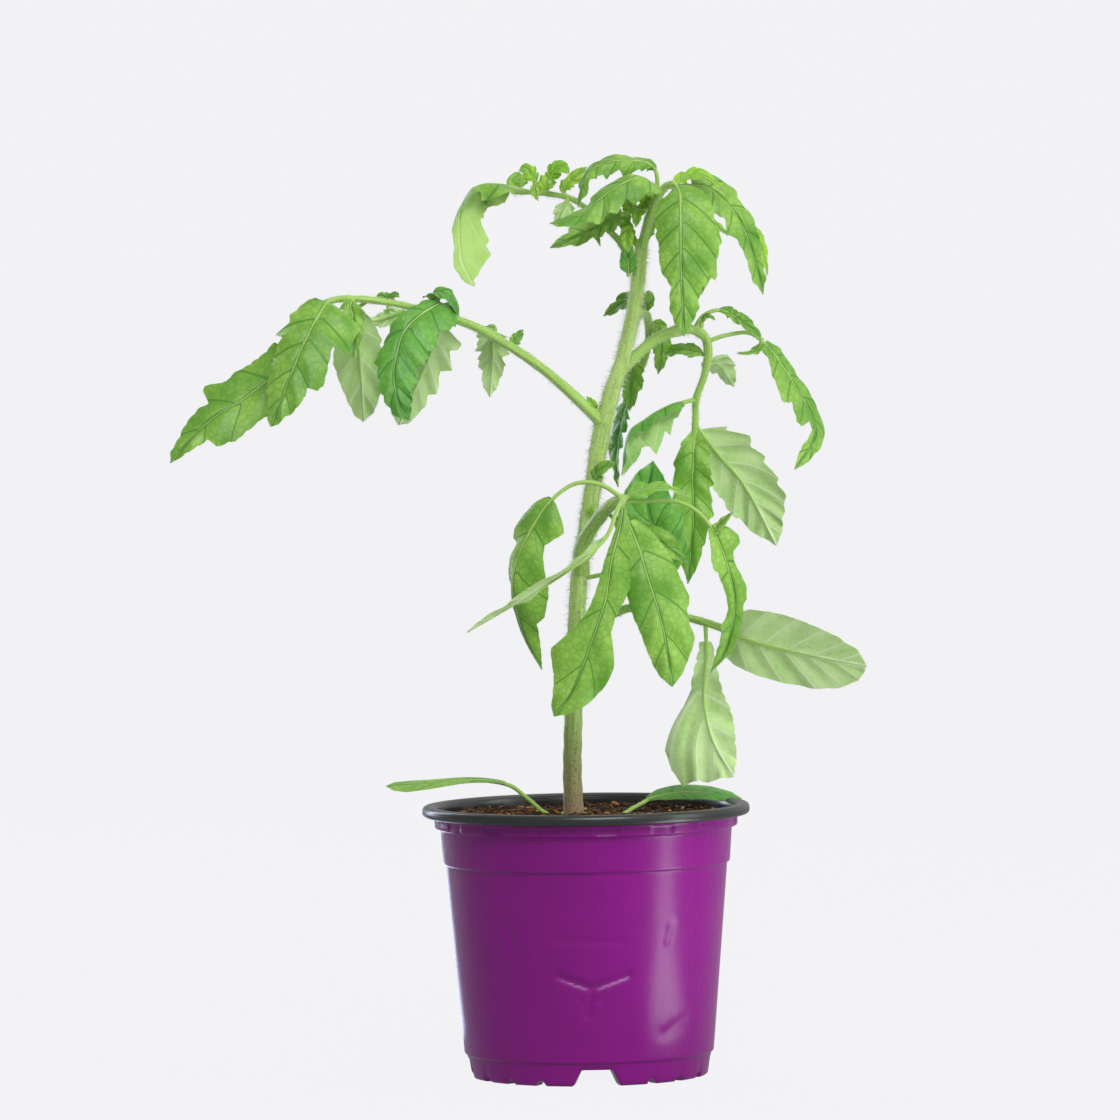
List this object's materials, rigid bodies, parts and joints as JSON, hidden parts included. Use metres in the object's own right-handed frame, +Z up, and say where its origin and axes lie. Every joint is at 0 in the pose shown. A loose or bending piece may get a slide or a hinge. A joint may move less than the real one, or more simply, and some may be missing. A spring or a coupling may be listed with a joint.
{
  "type": "potted tomato plant",
  "caption": "Young tomato plant with drooping lobed leaves on one leaning stem, rooted in soil in a thin round nursery pot with a rolled rim and drain notches.",
  "frame": {"origin": "centre of the bounding box in plan, on the surface that the pot's foot stands on", "axes": "+Z up along the plant, -Y towards the viewer's side, +X to the right"},
  "size_m": [0.2188, 0.1129, 0.2933],
  "materials": {
    "pot": "thin thermoformed sheet, purple outside and black inside, satin gloss",
    "soil": "damp peat compost with fibres, bark and a few white grains",
    "stem": "pale green living stem, brown-purple low down, with fine white hairs",
    "stalk": "pale green leaf stalk with fine white hairs",
    "leaf": "mid green soft leaf, paler below",
    "leaf_dark": "dark green soft leaf, paler below",
    "leaf_young": "yellow-green young leaf"
  },
  "bodies": {
    "root": {"back_leaf_left": "leaf", "back_leaf_right": "leaf", "back_leaf_stalk": "stalk", "back_leaf_tip": "leaf_dark", "back_leaf_upper_left": "leaf", "front_leaf_edge_left": "leaf", "front_leaf_left_droop": "leaf", "front_leaf_long_left": "leaf", "front_leaf_long_right": "leaf", "front_leaf_narrow_right": "leaf", "front_leaf_right_droop": "leaf", "front_leaf_short_right": "leaf", "front_leaf_stalk": "stalk", "high_left_leaf_inner_low": "leaf", "high_left_leaf_inner_top": "leaf_young", "high_left_leaf_middle_top": "leaf_young", "high_left_leaf_outer_top": "leaf", "high_left_leaf_stalk": "stalk", "high_left_leaf_tip": "leaf", "left_leaf_inner_back": "leaf", "left_leaf_middle_back": "leaf", "left_leaf_middle_curl": "leaf_dark", "left_leaf_middle_front": "leaf_dark", "left_leaf_outer_back": "leaf", "left_leaf_outer_front": "leaf", "left_leaf_outer_small": "leaf", "left_leaf_stalk": "stalk", "left_leaf_tip": "leaf", "low_leaf_hanging": "leaf", "low_leaf_stalk": "stalk", "low_leaf_tip": "leaf", "pot": "pot", "right_leaf_high_narrow": "leaf", "right_leaf_lower_left": "leaf", "right_leaf_lower_right": "leaf", "right_leaf_outer_curl": "leaf", "right_leaf_stalk": "stalk", "right_leaf_tip": "leaf", "right_leaf_upper_left": "leaf", "right_leaf_upper_right": "leaf", "seed_leaf_left": "leaf", "seed_leaf_right": "leaf", "soil": "soil", "stem": "stem", "top_leaf_left_long": "leaf_dark", "top_leaf_left_low": "leaf", "top_leaf_left_top": "leaf", "top_leaf_right_back": "leaf", "top_leaf_right_droop": "leaf", "top_leaf_right_far": "leaf_young", "top_leaf_right_top": "leaf_young", "top_leaf_stalk": "stalk", "top_leaf_tip": "leaf", "upright_leaf": "leaf_dark", "young_leaf_left": "leaf_young", "young_leaf_right": "leaf_young"}
  },
  "joints": []
}
